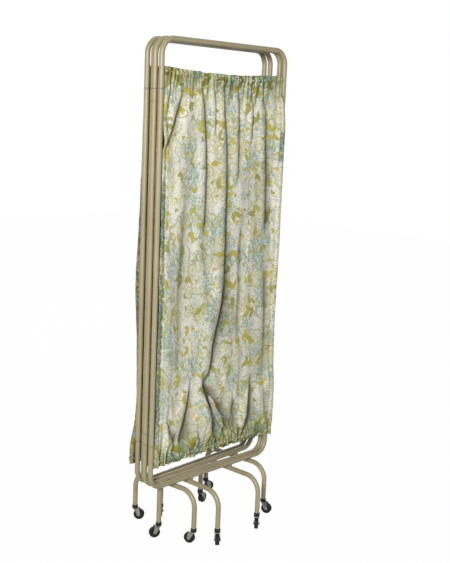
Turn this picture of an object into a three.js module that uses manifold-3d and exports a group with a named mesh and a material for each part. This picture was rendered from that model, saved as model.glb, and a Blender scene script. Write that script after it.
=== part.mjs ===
// Ward privacy screen on wheels: four tubular panels hinged in a zigzag and folded flat, each with a
// gathered cloth on two stretched wires. Two panels stand on inverted U feet and one on a single leg.
// Millimetres, +Z up, X along the front panel, -Y towards the front.
import * as THREE from 'three';
import { mergeVertices } from 'three/addons/utils/BufferGeometryUtils.js';
import Module from 'manifold-3d';

const wasm = await Module();
wasm.setup();

// Frame tube and panel
const PANEL_WIDTH = 635;
const PANEL_HEIGHT = 1600;
const TUBE_RADIUS = 9.5;
const TUBE_BORE = 8;
const CORNER_RADIUS = 52;
const BOW_TAIL = 167;
const SPIGOT_RADIUS = 7.3;
const SPIGOT_LENGTH = 30;
const SEAM_GAP = 0.3;

// Hinges: a knuckle turns on one panel's long spigot and is welded to the next panel's post
const HINGE_PITCH = 25;
const KNUCKLE_LENGTH = 41;
const LUG_THICKNESS = 5;
const LUG_INSET = 3;
const PANEL_YAWS = [0, -0.6, 2.7, 2.7];

// Each hinge joins a panel to the next one at the left (0) or right (1) posts. bearing is the way,
// seen from above, from the first panel's post to the next one's when folded
const HINGES = [
  { side: 1, bearing: 90, pivot: 1, welded: 0 },
  { side: 0, bearing: 60, pivot: 1, welded: 2 },
  { side: 1, bearing: 108, pivot: 3, welded: 2 },
];

// Castors
const WHEEL_RADIUS = 21;
const WHEEL_WIDTH = 16;
const WHEEL_EDGE = 3;
const HUB_RADIUS = 10;
const HUB_RECESS = 1.5;
const AXLE_RADIUS = 2.5;
const AXLE_CLEARANCE = 0.4;
const AXLE_NUB = 2.5;
const CASTOR_TRAIL = 16;
const FORK_PLATE = 2;
const FORK_SIDE_GAP = 1;
const FORK_CROWN_GAP = 1.5;
const CROWN_THICKNESS = 3;
const CROWN_RADIUS = 10;
const FORK_EYE_RADIUS = 7;
const STEM_RADIUS = 3;
const STEM_RISE = 20;
const FERRULE_RADIUS = 11.5;
const FERRULE_FLOOR = 4;
const FERRULE_GRIP = 10;
const FIT_GAP = 0.3;

// Feet and leg. Insets run along the rail from where its left and right corner bends end. Trails
// are the bearings of the castors at rest, front and rear of each foot
const LEG_RADIUS = 9.5;
const FOOT_HALF_SPAN = 157;
const FOOT_BEND_RADIUS = 62;
const LEG_BELOW_RAIL = 169;
const FOOT_CLEARANCE = 2;
const SADDLE_WIDTH = 15;
const COPE_RISE = 4.5;
const STEM_SOCKET_RADIUS = 4.5;
const FIRST_PANEL_INSETS = [152, 157];
const THIRD_PANEL_INSETS = [65, 50];
const SINGLE_LEG_INSET = 26;
const FIRST_PANEL_TRAILS = [[-134, 46], [-140, 9]];
const THIRD_PANEL_TRAILS = [[113, -51], [-69, -13]];
const SINGLE_LEG_TRAIL = 154;
const STUB_OFF_MIDDLE = 20;
const STUB_LENGTH = 76;

// Wires, pegs and curtains
const WIRE_RADIUS = 2.2;
const WIRE_CHANNEL = 3;
const TOP_WIRE_BELOW_RAIL = 107;
const TOP_WIRE_SAG = 9;
const BOTTOM_WIRE_ABOVE_RAIL = 97;
const PEG_RADIUS = 2.5;
const PEG_LENGTH = 6;
const FRILL_ABOVE = 17;
const FRILL_BELOW = 22;
const CLOTH_THICKNESS = 3;
const CASING_THICKNESS = 10;
const CASING_HALF_HEIGHT = 8;
const POST_CLEARANCE = 3;
const FOLD_DEPTH = 9;
const FOLD_HALF_WIDTH = 20;
const FRONT_BULGE = 8;
const BACK_BULGE = 12;
const POUCH = 10;
const SIDE_REACH = 40;
const TOP_REACH_SHARE = 0.15;
const POUCH_SHARE = 0.06;
const POUCH_SPREAD = 0.04;
const RAMP_SHARE = 0.08;
const STEEP_SHARE = 0.8;
const SLOW_SHARE = 1.4;
const RIDGE_SHARE = 0.4;
const RIDGE_OFF_SHARE = 1.7;

// Facets
const TUBE_SIDES = 12;
const BEND_STEPS = 4;
const WHEEL_SIDES = 12;
const SMALL_SIDES = 8;
const WIRE_SIDES = 8;
const WIRE_STEPS = 4;
const OVERRUN = 5;

const FORK_INNER = WHEEL_WIDTH / 2 + FORK_SIDE_GAP;
const CROWN_UNDERSIDE = 2 * WHEEL_RADIUS + FORK_CROWN_GAP;
const CASTOR_HEIGHT = CROWN_UNDERSIDE + CROWN_THICKNESS + FIT_GAP + FERRULE_FLOOR + FIT_GAP;
const BOTTOM_RAIL = CASTOR_HEIGHT + LEG_BELOW_RAIL;
const TOP_RAIL = BOTTOM_RAIL + PANEL_HEIGHT;
const TOP_SEAM = TOP_RAIL - BOW_TAIL;
const BOTTOM_SEAM = BOTTOM_RAIL + BOW_TAIL;
const FOOT_RUN = BOTTOM_RAIL - TUBE_RADIUS - FOOT_CLEARANCE - LEG_RADIUS;
const TOP_WIRE = TOP_RAIL - TOP_WIRE_BELOW_RAIL;
const BOTTOM_WIRE = BOTTOM_RAIL + BOTTOM_WIRE_ABOVE_RAIL;
const WIRE_START = TUBE_RADIUS + PEG_LENGTH + SEAM_GAP;
const SINGLE_LEG_PLACE = CORNER_RADIUS + SINGLE_LEG_INSET;
const STUB_PLACE = PANEL_WIDTH / 2 - STUB_OFF_MIDDLE;

const paint = { color: 0xaba083, roughness: 0.45, metalness: 0.0 };
const clothFinish = { color: 0xc6c2ae, roughness: 0.95, metalness: 0.0 };
const wireFinish = { color: 0x8d8a84, roughness: 0.4, metalness: 0.8 };
const forkFinish = { color: 0xa9aba8, roughness: 0.35, metalness: 0.8 };
const blackFinish = { color: 0x1d1c1b, roughness: 0.5, metalness: 0.0 };

const degrees = THREE.MathUtils.degToRad;
const point = (x, y, z) => new THREE.Vector3(x, y, z);

// Closed mesh to solid, and back
function solid(geometry) {
  const bare = geometry.clone();
  for (const name of Object.keys(bare.attributes)) if (name !== 'position') bare.deleteAttribute(name);
  const merged = mergeVertices(bare);
  return new wasm.Manifold(new wasm.Mesh({
    numProp: 3,
    vertProperties: new Float32Array(merged.attributes.position.array),
    triVerts: new Uint32Array(merged.index.array),
  }));
}

function geometryOf(body) {
  const mesh = body.getMesh();
  const geometry = new THREE.BufferGeometry();
  geometry.setAttribute('position', new THREE.BufferAttribute(mesh.vertProperties, 3));
  geometry.setIndex(new THREE.BufferAttribute(mesh.triVerts, 1));
  geometry.computeVertexNormals();
  return geometry;
}

function piece(name, body, finish) {
  const mesh = new THREE.Mesh(geometryOf(body), new THREE.MeshStandardMaterial(finish));
  mesh.name = name;
  return mesh;
}

// Upright round bar from z0 to z1
function bar(radius, z0, z1, sides = TUBE_SIDES) {
  const profile = [[0, z0], [radius, z0], [radius, z1], [0, z1]].map(([r, z]) => new THREE.Vector2(r, z));
  const geometry = new THREE.LatheGeometry(profile, sides);
  geometry.rotateX(Math.PI / 2);
  return solid(geometry);
}

const barAlongX = (radius, x0, x1, sides) => bar(radius, x0, x1, sides).rotate([0, 90, 0]);
const barAlongY = (radius, y0, y1, sides) => bar(radius, y0, y1, sides).rotate([-90, 0, 0]);

function block(sizeX, sizeY, sizeZ, centre) {
  return solid(new THREE.BoxGeometry(sizeX, sizeY, sizeZ)).translate(centre);
}

// The axis of a bent bar, as the stations where its section is set: both ends of each straight
// run, and BEND_STEPS steps round each bend
class BentAxis extends THREE.Curve {
  constructor(corners, bendRadius) {
    super();
    this.stations = [{ at: corners[0], along: corners[1].clone().sub(corners[0]).normalize() }];
    for (let i = 1; i < corners.length - 1; i += 1) {
      const before = corners[i].clone().sub(corners[i - 1]).normalize();
      const after = corners[i + 1].clone().sub(corners[i]).normalize();
      const turn = before.angleTo(after);
      const setback = bendRadius * Math.tan(turn / 2);
      const start = corners[i].clone().addScaledVector(before, -setback);
      const inward = after.clone().addScaledVector(before, -Math.cos(turn)).normalize();
      for (let k = 0; k <= BEND_STEPS; k += 1) {
        const swept = turn * k / BEND_STEPS;
        this.stations.push({
          at: start.clone().addScaledVector(before, bendRadius * Math.sin(swept))
            .addScaledVector(inward, bendRadius * (1 - Math.cos(swept))),
          along: before.clone().multiplyScalar(Math.cos(swept)).addScaledVector(inward, Math.sin(swept)),
        });
      }
    }
    const [beforeLast, last] = corners.slice(-2);
    this.stations.push({ at: last, along: last.clone().sub(beforeLast).normalize() });
  }

  get steps() {
    return this.stations.length - 1;
  }

  getPoint(share) {
    return this.stations[Math.round(share * this.steps)].at.clone();
  }

  getPointAt(share) {
    return this.getPoint(share);
  }

  getTangentAt(share) {
    return this.stations[Math.round(share * this.steps)].along.clone();
  }
}

function roundSection(radius, sides) {
  const outline = new THREE.Shape();
  for (let i = 0; i < sides; i += 1) {
    const angle = 2 * Math.PI * i / sides;
    const x = radius * Math.cos(angle);
    const y = radius * Math.sin(angle);
    if (i === 0) outline.moveTo(x, y);
    else outline.lineTo(x, y);
  }
  outline.closePath();
  return outline;
}

const along = (axis, radius, sides, steps = axis.steps) => solid(
  new THREE.ExtrudeGeometry(roundSection(radius, sides), { steps, extrudePath: axis }),
);

function bentBar(corners, bendRadius, radius, sides = TUBE_SIDES) {
  return along(new BentAxis(corners, bendRadius), radius, sides);
}

// Panel frame: a bow at the top and one at the bottom, joined by two posts over spigots
// rail is the rail's height, seam the height where the bow's tails end, and up is 1 on the bottom bow
function bow(rail, seam, pivotSides, wireHeight) {
  const up = Math.sign(seam - rail);
  let body = bentBar([
    point(0, 0, seam), point(0, 0, rail), point(PANEL_WIDTH, 0, rail), point(PANEL_WIDTH, 0, seam),
  ], CORNER_RADIUS, TUBE_RADIUS);
  [0, PANEL_WIDTH].forEach((x, side) => {
    const reach = SPIGOT_LENGTH + (pivotSides.includes(side) ? KNUCKLE_LENGTH + 2 * SEAM_GAP : 0);
    const ends = [seam - up * OVERRUN, seam + up * reach].sort((a, b) => a - b);
    body = body.add(bar(SPIGOT_RADIUS, ends[0], ends[1]).translate([x, 0, 0]));
    const inward = side === 0 ? 1 : -1;
    const peg = [0, inward * (TUBE_RADIUS + PEG_LENGTH)].sort((a, b) => a - b);
    body = body.add(barAlongX(PEG_RADIUS, peg[0], peg[1], WIRE_SIDES).translate([x, 0, wireHeight]));
  });
  return body;
}

// A post is a plain tube. On its pivot side it is shortened for the neighbour's knuckles, and on
// its welded side it carries two lugs, each with a knuckle in line with the neighbour's post
function post(hasGap, lugBearing) {
  const shortening = SEAM_GAP + (hasGap ? KNUCKLE_LENGTH + SEAM_GAP : 0);
  const z0 = BOTTOM_SEAM + shortening;
  const z1 = TOP_SEAM - shortening;
  let body = bar(TUBE_RADIUS, z0, z1);
  let bores = bar(TUBE_BORE, z0 - OVERRUN, z1 + OVERRUN);
  if (lugBearing !== null) {
    const way = [Math.cos(degrees(lugBearing)), Math.sin(degrees(lugBearing))];
    const place = [way[0] * HINGE_PITCH, way[1] * HINGE_PITCH, 0];
    const middle = [BOTTOM_SEAM + SEAM_GAP + KNUCKLE_LENGTH / 2, TOP_SEAM - SEAM_GAP - KNUCKLE_LENGTH / 2];
    for (const height of middle) {
      const low = height - KNUCKLE_LENGTH / 2;
      const high = height + KNUCKLE_LENGTH / 2;
      const web = block(HINGE_PITCH, LUG_THICKNESS, high - low - 2 * LUG_INSET, [HINGE_PITCH / 2, 0, height])
        .rotate([0, 0, lugBearing]);
      body = body.add(web).add(bar(TUBE_RADIUS, low, high).translate(place));
      bores = bores.add(bar(TUBE_BORE, low - OVERRUN, high + OVERRUN).translate(place));
    }
  }
  return body.subtract(bores);
}

// Feet: an inverted U under the bottom rail, square to it, seated on it by a welded saddle
function foot(place) {
  const leg = FOOT_HALF_SPAN;
  const run = bentBar([
    point(place, -leg, CASTOR_HEIGHT), point(place, -leg, FOOT_RUN),
    point(place, leg, FOOT_RUN), point(place, leg, CASTOR_HEIGHT),
  ], FOOT_BEND_RADIUS, LEG_RADIUS);
  const saddleTop = BOTTOM_RAIL - TUBE_RADIUS - SEAM_GAP;
  const saddle = block(SADDLE_WIDTH, SADDLE_WIDTH, saddleTop - FOOT_RUN,
    [place, 0, (saddleTop + FOOT_RUN) / 2]);
  return [-leg, leg].reduce((body, y) => body.subtract(stemSocket(place, y)), run.add(saddle));
}

const stemSocket = (x, y) => bar(STEM_SOCKET_RADIUS, CASTOR_HEIGHT - OVERRUN, CASTOR_HEIGHT + STEM_RISE)
  .translate([x, y, 0]);

// The single leg is coped to the rail that it is welded under
function singleLeg(place) {
  const rail = barAlongX(TUBE_RADIUS + SEAM_GAP, place - 2 * LEG_RADIUS, place + 2 * LEG_RADIUS);
  return bar(LEG_RADIUS, CASTOR_HEIGHT, BOTTOM_RAIL - TUBE_RADIUS + COPE_RISE).translate([place, 0, 0])
    .subtract(stemSocket(place, 0)).subtract(rail.translate([0, 0, BOTTOM_RAIL]));
}

// Castor: a ferrule on the leg's end, a fork that swivels in it, and a wheel on the fork's axle
function ferrule() {
  const floor = CASTOR_HEIGHT - FIT_GAP - FERRULE_FLOOR;
  return bar(FERRULE_RADIUS, floor, CASTOR_HEIGHT + FERRULE_GRIP)
    .subtract(bar(LEG_RADIUS + FIT_GAP, CASTOR_HEIGHT - FIT_GAP, CASTOR_HEIGHT + FERRULE_GRIP + OVERRUN))
    .subtract(bar(STEM_RADIUS + AXLE_CLEARANCE, floor - OVERRUN, CASTOR_HEIGHT + OVERRUN, SMALL_SIDES));
}

function forkPlate(y) {
  const top = CROWN_UNDERSIDE + CROWN_THICKNESS / 2;
  const outline = new THREE.Shape();
  outline.moveTo(-CROWN_RADIUS / 2, top);
  outline.lineTo(CASTOR_TRAIL + FORK_EYE_RADIUS / 2, top);
  outline.lineTo(CASTOR_TRAIL + FORK_EYE_RADIUS, WHEEL_RADIUS);
  outline.absarc(CASTOR_TRAIL, WHEEL_RADIUS, FORK_EYE_RADIUS, 0, -Math.PI, true);
  outline.closePath();
  const options = { depth: FORK_PLATE, bevelEnabled: false, curveSegments: 4 };
  const plate = solid(new THREE.ExtrudeGeometry(outline, options));
  return plate.rotate([90, 0, 0]).translate([0, y + FORK_PLATE, 0]);
}

function fork() {
  const crown = bar(CROWN_RADIUS, CROWN_UNDERSIDE, CROWN_UNDERSIDE + CROWN_THICKNESS);
  const stem = bar(STEM_RADIUS, CROWN_UNDERSIDE, CASTOR_HEIGHT + STEM_RISE - 2 * FIT_GAP, SMALL_SIDES);
  const bridge = block(CASTOR_TRAIL + CROWN_RADIUS / 2, 2 * (FORK_INNER + FORK_PLATE), CROWN_THICKNESS,
    [(CASTOR_TRAIL + CROWN_RADIUS / 2) / 2 - CROWN_RADIUS / 4, 0, CROWN_UNDERSIDE + CROWN_THICKNESS / 2]);
  const reach = FORK_INNER + FORK_PLATE + AXLE_NUB;
  const axle = barAlongY(AXLE_RADIUS, -reach, reach, SMALL_SIDES).translate([CASTOR_TRAIL, 0, WHEEL_RADIUS]);
  return crown.add(stem).add(bridge).add(axle).add(forkPlate(FORK_INNER))
    .add(forkPlate(-FORK_INNER - FORK_PLATE));
}

// The wheel's faceted tread has a flat at the bottom, at the height of the floor
function wheel() {
  const rim = WHEEL_RADIUS / Math.cos(Math.PI / WHEEL_SIDES);
  const bore = AXLE_RADIUS + AXLE_CLEARANCE;
  const half = WHEEL_WIDTH / 2;
  const profile = [
    [bore, -half + HUB_RECESS], [HUB_RADIUS, -half + HUB_RECESS], [HUB_RADIUS + HUB_RECESS, -half],
    [rim - WHEEL_EDGE, -half], [rim, -half + WHEEL_EDGE], [rim, half - WHEEL_EDGE], [rim - WHEEL_EDGE, half],
    [HUB_RADIUS + HUB_RECESS, half], [HUB_RADIUS, half - HUB_RECESS], [bore, half - HUB_RECESS],
    [bore, -half + HUB_RECESS],
  ].map(([r, y]) => new THREE.Vector2(r, y));
  const geometry = new THREE.LatheGeometry(profile, WHEEL_SIDES);
  geometry.rotateY(Math.PI / WHEEL_SIDES);
  return solid(geometry).translate([CASTOR_TRAIL, 0, WHEEL_RADIUS]);
}

// The ferrule keeps to its leg, and the bearing is where the wheel trails at rest
function castor(name, x, y, bearing) {
  const group = new THREE.Group();
  group.position.set(x, y, 0);
  const swivel = new THREE.Group();
  swivel.rotation.z = degrees(bearing);
  swivel.add(piece(`${name}_fork`, fork(), forkFinish), piece(`${name}_wheel`, wheel(), blackFinish));
  group.add(piece(`${name}_ferrule`, ferrule(), blackFinish), swivel);
  return group;
}

// Curtain wires run from peg to peg. The top one sags under the cloth, the bottom one is taut
function wirePath(height, sag, start, end) {
  const middle = (start + end) / 2;
  return new THREE.QuadraticBezierCurve3(
    point(start, 0, height), point(middle, 0, height - 2 * sag), point(end, 0, height),
  );
}

function wire(height, sag) {
  const path = wirePath(height, sag, WIRE_START, PANEL_WIDTH - WIRE_START);
  return along(path, WIRE_RADIUS, WIRE_SIDES, sag > 0 ? WIRE_STEPS : 1);
}

// A channel for a wire, as long as the casing and a little more
function wireChannel(height, sag) {
  const path = wirePath(height, sag, WIRE_START, PANEL_WIDTH - WIRE_START);
  return along(path, WIRE_CHANNEL, WIRE_SIDES, sag > 0 ? WIRE_STEPS : 1)
    .add(barAlongX(WIRE_CHANNEL, TUBE_RADIUS, WIRE_START + OVERRUN, WIRE_SIDES).translate([0, 0, height]))
    .add(barAlongX(WIRE_CHANNEL, PANEL_WIDTH - WIRE_START - OVERRUN, PANEL_WIDTH - TUBE_RADIUS, WIRE_SIDES)
      .translate([0, 0, height]));
}

const smooth = (value) => THREE.MathUtils.smoothstep(value, 0, 1);
const archAt = (share) => Math.sqrt(Math.sin(Math.PI * THREE.MathUtils.clamp(share, 0, 1)));
const topSagAt = (across) => 4 * TOP_WIRE_SAG * across * (1 - across);

// Where a fold is at a height. Its path runs downwards through shares of the width and the height
function placeOf(path, up) {
  const below = path.findIndex(([, height]) => height <= up);
  if (below < 1) return path[below === 0 ? 0 : path.length - 1][0];
  const [[fromAcross, fromUp], [toAcross, toUp]] = [path[below - 1], path[below]];
  return THREE.MathUtils.mapLinear(up, fromUp, toUp, fromAcross, toAcross);
}

// How deep the folds push the cloth back, as a number of FOLD_DEPTHs. A fold is steep on its left,
// where the cloth stands proud beside it, and runs out slowly on its right
function foldedBack(folds, across, up) {
  let back = 0;
  for (const { path, depth, width } of folds) {
    const off = (across - placeOf(path, up)) * PANEL_WIDTH / (width * FOLD_HALF_WIDTH);
    const rise = smooth((up - path[path.length - 1][1]) / RAMP_SHARE);
    const fade = smooth((path[0][1] - up) / RAMP_SHARE);
    const valley = Math.exp(-((off / (off < 0 ? STEEP_SHARE : SLOW_SHARE)) ** 2));
    const ridge = RIDGE_SHARE * Math.exp(-((off + RIDGE_OFF_SHARE) ** 2));
    back += depth * rise * fade * (valley - ridge);
  }
  return back;
}

// One curtain: a sheet with its main folds, gathered thick round each wire. side is -1 where the
// cloth's front looks to the front of the panel and 1 to its back. bulge is how far the sheet stands
// out half way down, and pouch how far it sags out over the lower casing. Where leftReach or
// rightReach is set, that edge hangs outside the post and past it, further towards the foot.
function curtain({ columns, rows, side, bulge, pouch, leftReach, rightReach, folds }) {
  const left = TUBE_RADIUS + POST_CLEARANCE;
  const right = PANEL_WIDTH - TUBE_RADIUS - POST_CLEARANCE;
  const pitch = 1.1 * PANEL_WIDTH / columns;
  const outsidePost = TUBE_RADIUS + POST_CLEARANCE + CLOTH_THICKNESS / 2;
  const fall = TOP_WIRE - BOTTOM_WIRE;
  const foot = 3 * CASING_HALF_HEIGHT;
  const head = fall - foot;
  const heights = [fall + FRILL_ABOVE, fall + CASING_HALF_HEIGHT, fall - CASING_HALF_HEIGHT];
  for (let i = 0; i <= rows; i += 1) heights.push(THREE.MathUtils.lerp(head, foot, i / rows));
  heights.push(CASING_HALF_HEIGHT, -CASING_HALF_HEIGHT, -FRILL_BELOW);

  const vertices = [];
  const faces = [];
  for (const face of [-1, 1]) {
    for (const height of heights) {
      const up = height / fall;
      const free = archAt((height - foot) / (head - foot));
      const outside = smooth((1 - up) / RAMP_SHARE);
      const reach = outside * THREE.MathUtils.lerp(1, TOP_REACH_SHARE, THREE.MathUtils.clamp(up, 0, 1));
      const sagging = Math.exp(-((up - POUCH_SHARE) ** 2) / (2 * POUCH_SPREAD ** 2));
      const inCasing = Math.min(Math.abs(height), Math.abs(height - fall)) <= CASING_HALF_HEIGHT;
      for (let i = 0; i <= columns; i += 1) {
        const across = i / columns;
        const x = THREE.MathUtils.lerp(left - leftReach * reach, right + rightReach * reach, across);
        const besidePost = (leftReach > 0 && x - pitch < left) || (rightReach > 0 && x + pitch > right);
        const clear = besidePost ? Math.sqrt(outside) * outsidePost : 0;
        const stands = bulge * archAt(across) + pouch * sagging - FOLD_DEPTH * foldedBack(folds, across, up);
        const half = (inCasing && !besidePost ? CASING_THICKNESS : CLOTH_THICKNESS) / 2;
        const y = side * Math.max(stands * free, clear) + face * half;
        vertices.push(x, y, BOTTOM_WIRE + height - topSagAt(across) * THREE.MathUtils.clamp(up, 0, 1));
      }
    }
  }
  const across = columns + 1;
  const sheet = across * heights.length;
  const at = (face, row, column) => face * sheet + row * across + column;
  const quad = (a, b, c, d) => faces.push(a, b, c, a, c, d);
  for (let row = 0; row < heights.length - 1; row += 1) {
    for (let i = 0; i < columns; i += 1) {
      quad(at(0, row, i), at(0, row + 1, i), at(0, row + 1, i + 1), at(0, row, i + 1));
      quad(at(1, row, i), at(1, row, i + 1), at(1, row + 1, i + 1), at(1, row + 1, i));
    }
    quad(at(0, row, 0), at(1, row, 0), at(1, row + 1, 0), at(0, row + 1, 0));
    quad(at(0, row, columns), at(0, row + 1, columns), at(1, row + 1, columns), at(1, row, columns));
  }
  const last = heights.length - 1;
  for (let i = 0; i < columns; i += 1) {
    quad(at(0, 0, i), at(0, 0, i + 1), at(1, 0, i + 1), at(1, 0, i));
    quad(at(0, last, i), at(1, last, i), at(1, last, i + 1), at(0, last, i + 1));
  }
  const geometry = new THREE.BufferGeometry();
  geometry.setAttribute('position', new THREE.Float32BufferAttribute(vertices, 3));
  geometry.setIndex(faces);
  return solid(geometry).subtract(wireChannel(TOP_WIRE, TOP_WIRE_SAG)).subtract(wireChannel(BOTTOM_WIRE, 0));
}

// Folds: the path, then the depth and half width as numbers of FOLD_DEPTHs and FOLD_HALF_WIDTHs
const curtains = [
  {
    columns: 28, rows: 11, side: -1, bulge: FRONT_BULGE, pouch: POUCH, leftReach: 0, rightReach: SIDE_REACH,
    folds: [
      { path: [[0.48, 1], [0.52, 0.76], [0.55, 0.46], [0.5, 0.34], [0.42, 0.16]], depth: 2.8, width: 1.1 },
      { path: [[0.3, 1], [0.34, 0.86], [0.37, 0.6]], depth: 1.8, width: 0.8 },
      { path: [[0.6, 1], [0.63, 0.85], [0.64, 0.7]], depth: 1.3, width: 0.7 },
      { path: [[0.81, 1], [0.86, 0.8], [0.9, 0.56]], depth: 1.7, width: 0.8 },
      { path: [[0.17, 1], [0.12, 0.93], [0.03, 0.78]], depth: 1.7, width: 0.8 },
      { path: [[0.4, 0.2], [0.48, 0.14], [0.56, 0.08], [0.64, 0]], depth: 2.4, width: 0.9 },
      { path: [[0.29, 0.2], [0.26, 0.11], [0.22, 0.02]], depth: 1.9, width: 0.8 },
      { path: [[0.83, 0.18], [0.82, 0.06], [0.76, 0]], depth: 1.8, width: 0.8 },
    ],
  },
  {
    columns: 10, rows: 5, side: -1, bulge: 0, pouch: 0, leftReach: 0, rightReach: 0,
    folds: [{ path: [[0.3, 1], [0.36, 0]], depth: 0.5, width: 2.5 }],
  },
  {
    columns: 10, rows: 5, side: 1, bulge: 0, pouch: 0, leftReach: 0, rightReach: 0,
    folds: [{ path: [[0.7, 1], [0.64, 0]], depth: 0.5, width: 2.5 }],
  },
  {
    columns: 20, rows: 8, side: 1, bulge: BACK_BULGE, pouch: POUCH, leftReach: SIDE_REACH, rightReach: 0,
    folds: [
      { path: [[0.39, 1], [0.41, 0.7], [0.44, 0.42], [0.4, 0.16]], depth: 2.1, width: 1.2 },
      { path: [[0.7, 1], [0.68, 0.7], [0.7, 0.3]], depth: 1.7, width: 1.1 },
      { path: [[0.18, 1], [0.19, 0.78], [0.16, 0.5]], depth: 1.4, width: 1 },
      { path: [[0.56, 0.18], [0.57, 0.08], [0.6, 0]], depth: 1.7, width: 1 },
      { path: [[0.31, 0.18], [0.3, 0.08], [0.28, 0]], depth: 1.7, width: 1 },
    ],
  },
];

// Panels, placed one after another from hinge to hinge
const bearingOf = (angle) => point(Math.cos(degrees(angle)), Math.sin(degrees(angle)), 0);
const leftPosts = [point(0, 0, 0)];
HINGES.forEach(({ side, bearing }, i) => {
  const lug = bearingOf(bearing).multiplyScalar(HINGE_PITCH);
  const turned = bearingOf(PANEL_YAWS[i]).sub(bearingOf(PANEL_YAWS[i + 1]));
  leftPosts.push(leftPosts[i].clone().add(lug).addScaledVector(turned, side * PANEL_WIDTH));
});

const pivotSidesOf = (panel) => HINGES.filter((hinge) => hinge.pivot === panel).map((hinge) => hinge.side);

// Where a panel's post is welded to knuckles, the way from it to the knuckles, else null
function lugBearingOf(panel, side) {
  const hinge = HINGES.find((each) => each.welded === panel && each.side === side);
  if (!hinge) return null;
  return hinge.bearing - PANEL_YAWS[panel] + (hinge.pivot < hinge.welded ? 180 : 0);
}

const screen = new THREE.Group();
PANEL_YAWS.forEach((yaw, i) => {
  const name = `panel_${i + 1}`;
  const panel = new THREE.Group();
  panel.position.copy(leftPosts[i]);
  panel.rotation.z = degrees(yaw);
  panel.add(piece(`${name}_top_bow`, bow(TOP_RAIL, TOP_SEAM, pivotSidesOf(i), TOP_WIRE), paint));
  let bottomBow = bow(BOTTOM_RAIL, BOTTOM_SEAM, pivotSidesOf(i), BOTTOM_WIRE);
  if (i === 3) {
    const stub = bar(LEG_RADIUS, BOTTOM_RAIL - STUB_LENGTH, BOTTOM_RAIL).translate([STUB_PLACE, 0, 0]);
    bottomBow = bottomBow.add(stub);
  }
  panel.add(piece(`${name}_bottom_bow`, bottomBow, paint));
  ['left', 'right'].forEach((hand, side) => {
    const body = post(pivotSidesOf(i).includes(side), lugBearingOf(i, side));
    const upright = piece(`${name}_${hand}_post`, body, paint);
    upright.position.x = side * PANEL_WIDTH;
    panel.add(upright);
  });
  panel.add(piece(`${name}_top_wire`, wire(TOP_WIRE, TOP_WIRE_SAG), wireFinish));
  panel.add(piece(`${name}_bottom_wire`, wire(BOTTOM_WIRE, 0), wireFinish));
  panel.add(piece(`${name}_curtain`, curtain(curtains[i]), clothFinish));
  if (i === 0 || i === 2) {
    const insets = i === 0 ? FIRST_PANEL_INSETS : THIRD_PANEL_INSETS;
    const places = [CORNER_RADIUS + insets[0], PANEL_WIDTH - CORNER_RADIUS - insets[1]];
    const trails = i === 0 ? FIRST_PANEL_TRAILS : THIRD_PANEL_TRAILS;
    ['left', 'right'].forEach((hand, side) => {
      panel.add(piece(`${name}_${hand}_foot`, foot(places[side]), paint));
      ['front', 'rear'].forEach((end, k) => {
        const y = k === 0 ? -FOOT_HALF_SPAN : FOOT_HALF_SPAN;
        panel.add(castor(`${name}_${hand}_${end}`, places[side], y, trails[side][k] - yaw));
      });
    });
  }
  if (i === 1) {
    panel.add(piece(`${name}_leg`, singleLeg(SINGLE_LEG_PLACE), paint));
    panel.add(castor(name, SINGLE_LEG_PLACE, 0, SINGLE_LEG_TRAIL - yaw));
  }
  screen.add(panel);
});

// Origin at the middle of the bounding box, on the floor
screen.updateMatrixWorld(true);
const box = new THREE.Box3().setFromObject(screen, true);
screen.position.set(-(box.min.x + box.max.x) / 2, -(box.min.y + box.max.y) / 2, -box.min.z);

export default screen;
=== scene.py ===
"""Ward privacy screen on wheels: four hinged tubular panels folded flat, each with a gathered
printed curtain between two wires, on inverted U feet with castors. Metres, +Z up, X along the
front panel, -Y towards the front."""
from math import atan2, cos, pi, radians, sin, sqrt, tan, tau

import bmesh
import bpy
import numpy as np
from mathutils import Matrix, Vector


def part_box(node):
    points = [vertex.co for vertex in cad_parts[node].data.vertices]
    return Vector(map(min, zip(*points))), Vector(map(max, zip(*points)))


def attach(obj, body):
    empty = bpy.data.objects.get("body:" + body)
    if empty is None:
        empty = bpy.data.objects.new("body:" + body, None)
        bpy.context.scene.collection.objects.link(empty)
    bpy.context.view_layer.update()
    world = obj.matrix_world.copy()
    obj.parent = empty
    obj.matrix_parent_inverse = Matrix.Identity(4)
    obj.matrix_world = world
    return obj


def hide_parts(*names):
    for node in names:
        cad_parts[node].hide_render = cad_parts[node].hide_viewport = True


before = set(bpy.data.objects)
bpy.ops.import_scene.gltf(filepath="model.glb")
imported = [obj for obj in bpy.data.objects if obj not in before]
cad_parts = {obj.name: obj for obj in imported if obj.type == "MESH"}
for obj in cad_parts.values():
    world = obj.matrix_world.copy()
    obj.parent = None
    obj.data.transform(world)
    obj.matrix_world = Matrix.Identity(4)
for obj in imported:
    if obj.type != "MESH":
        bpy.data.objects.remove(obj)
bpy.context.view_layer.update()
scene = bpy.context.scene

# Camera and studio
# A long lens above the middle of the folded screen, looking at its left edge, fitted with the
# front left post at VIEW_POST. A pale floor in a pale room, with a small lamp from the left, a
# weak wide one from the front and a wide one behind.
VIEW = dict(yaw=-47.868, pitch=12.213, roll=2.681, place=(-2.615, -2.514, 1.593),
            focal=974.9, centre=(240.8, 321.9))
VIEW_POST = Vector((-0.32341, -0.030687, 0))
PHOTO, FILM = (450, 563), 36.0
FLOOR_HALF, FLOOR_COLOUR, FLOOR_GLOW = 9, (0.55, 0.55, 0.55), 0.99
WORLD_LIGHT = 0.1
LIT_POINT = Vector((0, 0, 0.9))


def middle_of(node):
    low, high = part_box(node)
    return (Vector(low) + Vector(high)) / 2


def put(x=0, y=0, z=0):
    return Matrix.Translation((x, y, z))


def spun(angle, axis="Z"):
    return Matrix.Rotation(angle, 4, axis)


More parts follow.
